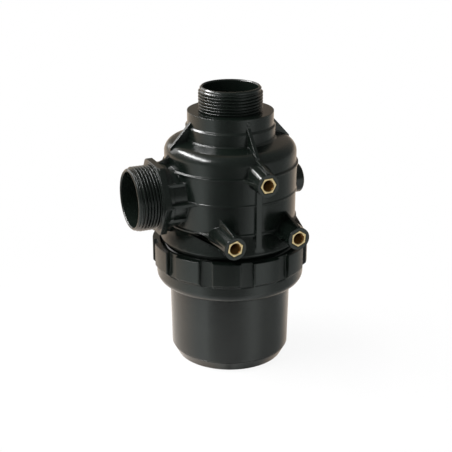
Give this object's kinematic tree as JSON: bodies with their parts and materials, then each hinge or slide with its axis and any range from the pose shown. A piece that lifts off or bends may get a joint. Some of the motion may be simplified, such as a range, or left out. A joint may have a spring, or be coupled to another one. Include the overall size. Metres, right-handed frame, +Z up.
{
  "type": "suction filter",
  "caption": "Inline suction filter: ribbed black plastic head with threaded top and side ports, fixing bosses with brass inserts, a screw ring nut, a bowl and a mesh cartridge inside.",
  "frame": {"origin": "centre of the bowl's base, on the filter's axis", "axes": "+Z up along the filter's axis and out of the top port; the side port points towards -X; the three fixing bosses face -Y"},
  "size_m": [0.1398, 0.1254, 0.2117],
  "materials": {
    "body": "black fibre-filled moulding, satin with a soft shine",
    "nut": "black moulding, satin",
    "bowl": "black moulding, smooth satin",
    "insert": "bright turned brass",
    "cage": "dark grey moulding",
    "screen": "woven stainless wire",
    "seal": "black rubber"
  },
  "bodies": {
    "head": {"head": "body", "insert_top": "insert", "insert_left": "insert", "insert_right": "insert"},
    "cartridge": {"cage": "cage", "screen": "screen", "upper_seal": "seal", "lower_seal": "seal"},
    "bowl": {"bowl": "bowl", "bowl_seal": "seal"},
    "ring_nut": {"ring_nut": "nut"}
  },
  "joints": [
    {"name": "cartridge_slide", "type": "slide", "parent": "head", "child": "cartridge", "axis": [0, 0, -1], "range_m": [0, 0.11]},
    {"name": "bowl_slide", "type": "slide", "parent": "cartridge", "child": "bowl", "axis": [0, 0, -1], "range_m": [0, 0.012]},
    {"name": "nut_turn", "type": "hinge", "parent": "bowl", "child": "ring_nut", "pos_m": [0, 0, 0.0775], "axis": [0, 0, -1], "range_deg": [0, 1080.5]}
  ],
  "couplings": [
    {"joint": "nut_turn", "follows": "bowl_slide", "rad_per_m": 1570.8}
  ]
}
